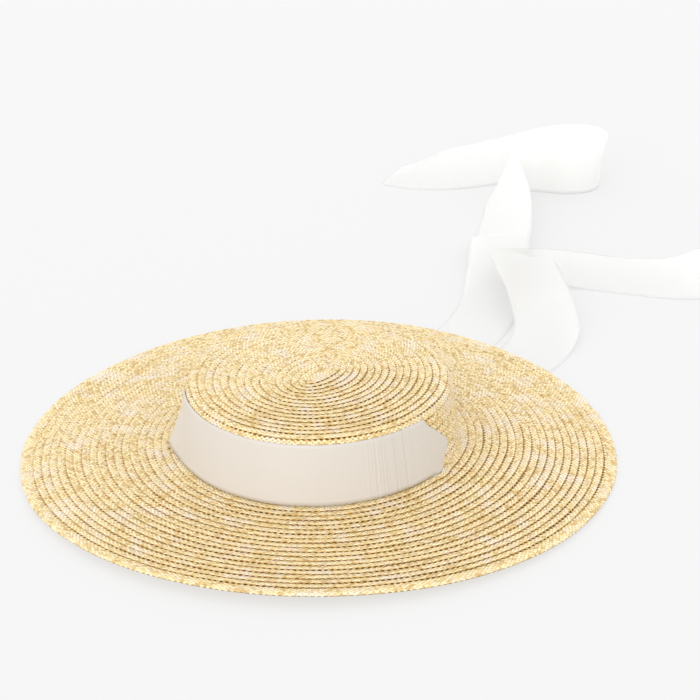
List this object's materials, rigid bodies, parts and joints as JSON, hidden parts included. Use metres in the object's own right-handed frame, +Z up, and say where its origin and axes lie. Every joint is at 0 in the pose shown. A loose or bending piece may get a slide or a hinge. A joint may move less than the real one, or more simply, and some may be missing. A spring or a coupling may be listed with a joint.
{
  "type": "straw boater hat with ribbon ties",
  "caption": "Wide-brimmed straw boater with a low flat crown, a satin ribbon round its front that passes down through slits in the brim, and loose ribbon ties laid out behind.",
  "frame": {"origin": "middle of the inside of the crown's top, where the hat sits on a head or a hat stand; the table it rests on is 52.2 mm below", "axes": "+Z up, -Y towards the front of the hat, +Y towards the back where the ties lie, +X towards the hat's right as seen from the front"},
  "size_m": [0.4333, 0.8288, 0.0546],
  "materials": {
    "straw_braid": "sewn rows of natural wheat-straw braid",
    "satin_ribbon": "ivory satin ribbon"
  },
  "bodies": {
    "root": {"crown": "straw_braid", "brim": "straw_braid", "hat_band": "satin_ribbon", "tie_left": "satin_ribbon", "tie_right": "satin_ribbon"}
  },
  "joints": []
}
